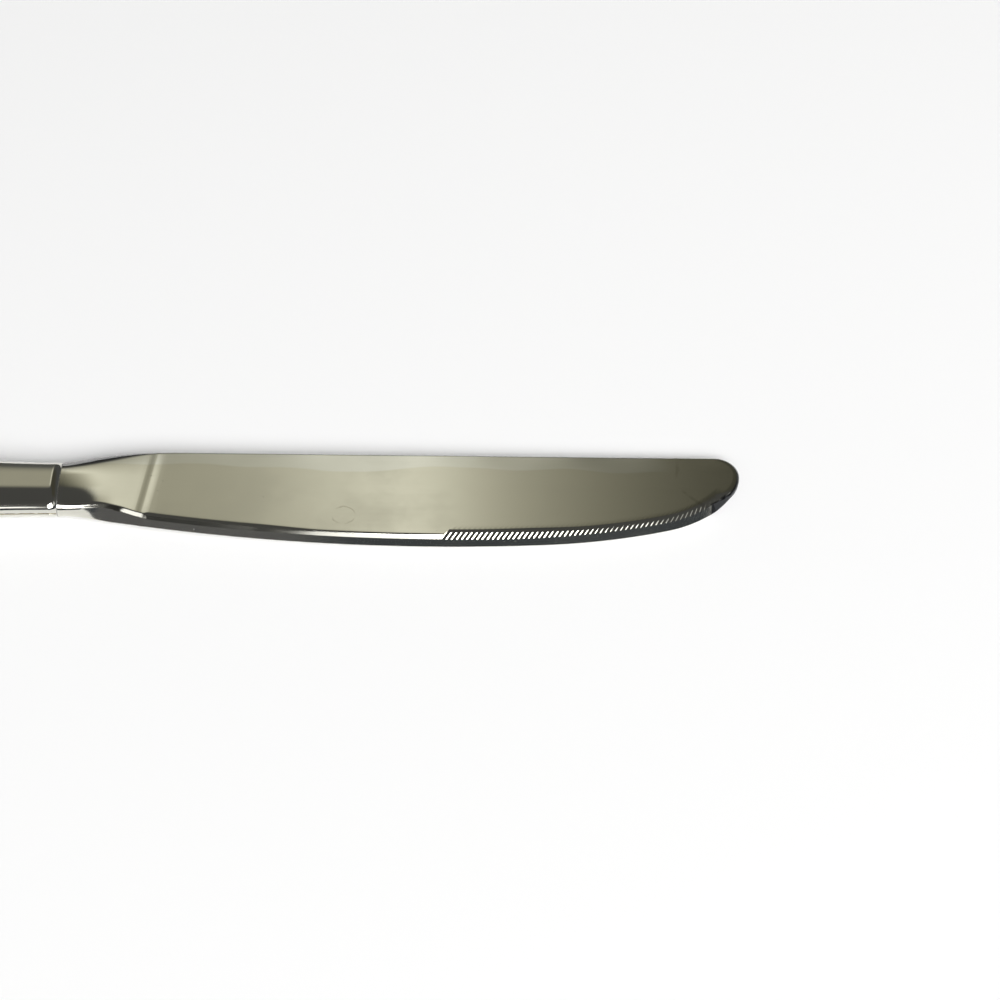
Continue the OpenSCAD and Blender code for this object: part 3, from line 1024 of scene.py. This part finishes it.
at_wall = times(tree, ramp_node(tree, up_z, *wall_top), ramp_node(tree, side_x, *wall_right))
walls = stain(tree, ceiling_colour, wall_colour, at_wall)
forward_right = minus(tree, times(tree, side_x, right_share), times(tree, back_y, front_share))
front_low = times(tree, ramp_node(tree, forward_right, *front_range), ramp_node(tree, up_z, *low_top))
walls = stain(tree, walls, low_colour, front_low)
left_low = times(tree, front_low, ramp_node(tree, side_x, *left_side))
walls = stain(tree, walls, left_colour, left_low)
gap_width = times(tree, ramp_node(tree, side_x, *gap_right), ramp_node(tree, side_x, *gap_left))
gap_height = times(tree, ramp_node(tree, up_z, *gap_foot), ramp_node(tree, back_y, *gap_front))
walls = stain(tree, walls, gap_colour, times(tree, gap_width, gap_height))

behind = times(tree, ramp_node(tree, back_y, *back_range), ramp_node(tree, up_z, *back_top))
ground = tree.nodes["Background"]
tree.links.new(stain(tree, walls, back_wall, behind), ground.inputs["Color"])
ground.inputs["Strength"].default_value = 1.0
print("room:", len(tree.nodes), "nodes")

# %% [markdown]
# Five soft boxes stand in front of the table. The large one lights the table, drops the shadow behind the
# spine and shows in the grooves. A small one at the left shows as the strip along the neck, one straight
# ahead whitens the plain bevel, a narrow one at the right keeps the last grooves bright, and a dim one at
# the far right fills the shadows.

# %% Soft boxes
lamp_distance = 4.0
lamp_aim = Vector((0.06, 0, 0))


def soft_box(name, sideways, rise, width, height, level):
    lamp = bpy.data.lights.new(name, "AREA")
    lamp.shape = "RECTANGLE"
    lamp.size = width
    lamp.size_y = height
    lamp.energy = math.pi * level * width * height
    box = bpy.data.objects.new(name, lamp)
    a, e = math.radians(sideways), math.radians(rise)
    way = Vector((math.sin(a) * math.cos(e), -math.cos(a) * math.cos(e), math.sin(e)))
    box.location = lamp_aim + lamp_distance * way
    box.rotation_euler = (lamp_aim - box.location).to_track_quat("-Z", "Y").to_euler()
    bpy.context.scene.collection.objects.link(box)
    print(name, "gives", round(lamp.energy, 1), "W")


soft_box("box_front", 26, 41, 3.1, 2.5, 10.2)
soft_box("box_left", -41, 33, 1.1, 1.0, 1.4)
soft_box("box_bevel", -4.6, 32, 0.74, 1.0, 1.5)
soft_box("box_low", 56, 34, 0.42, 0.55, 3.0)
soft_box("box_right", 72, 30, 2.0, 1.4, 0.5)

# %% [markdown]
# The photograph looks down on the knife at about fifty degrees, square to it, from arm's length with a
# long lens. The camera aims at the point in the middle of the picture.

# %% Camera
view_height = math.radians(50)
view_distance = 0.4646
aim = lay(86.3, 0.17, 0)
camera_data = bpy.data.cameras.new("camera")
camera_data.lens = 85
camera_data.sensor_width = 36
camera_data.clip_start = 0.01
camera = bpy.data.objects.new("camera", camera_data)
camera.location = aim + view_distance * Vector((0, -math.cos(view_height), math.sin(view_height)))
camera.rotation_euler = (aim - camera.location).to_track_quat("-Z", "Y").to_euler()
bpy.context.scene.collection.objects.link(camera)
bpy.context.scene.camera = camera
bpy.context.scene.view_settings.view_transform = "Standard"
print("camera at", [round(c, 3) for c in camera.location], "m")
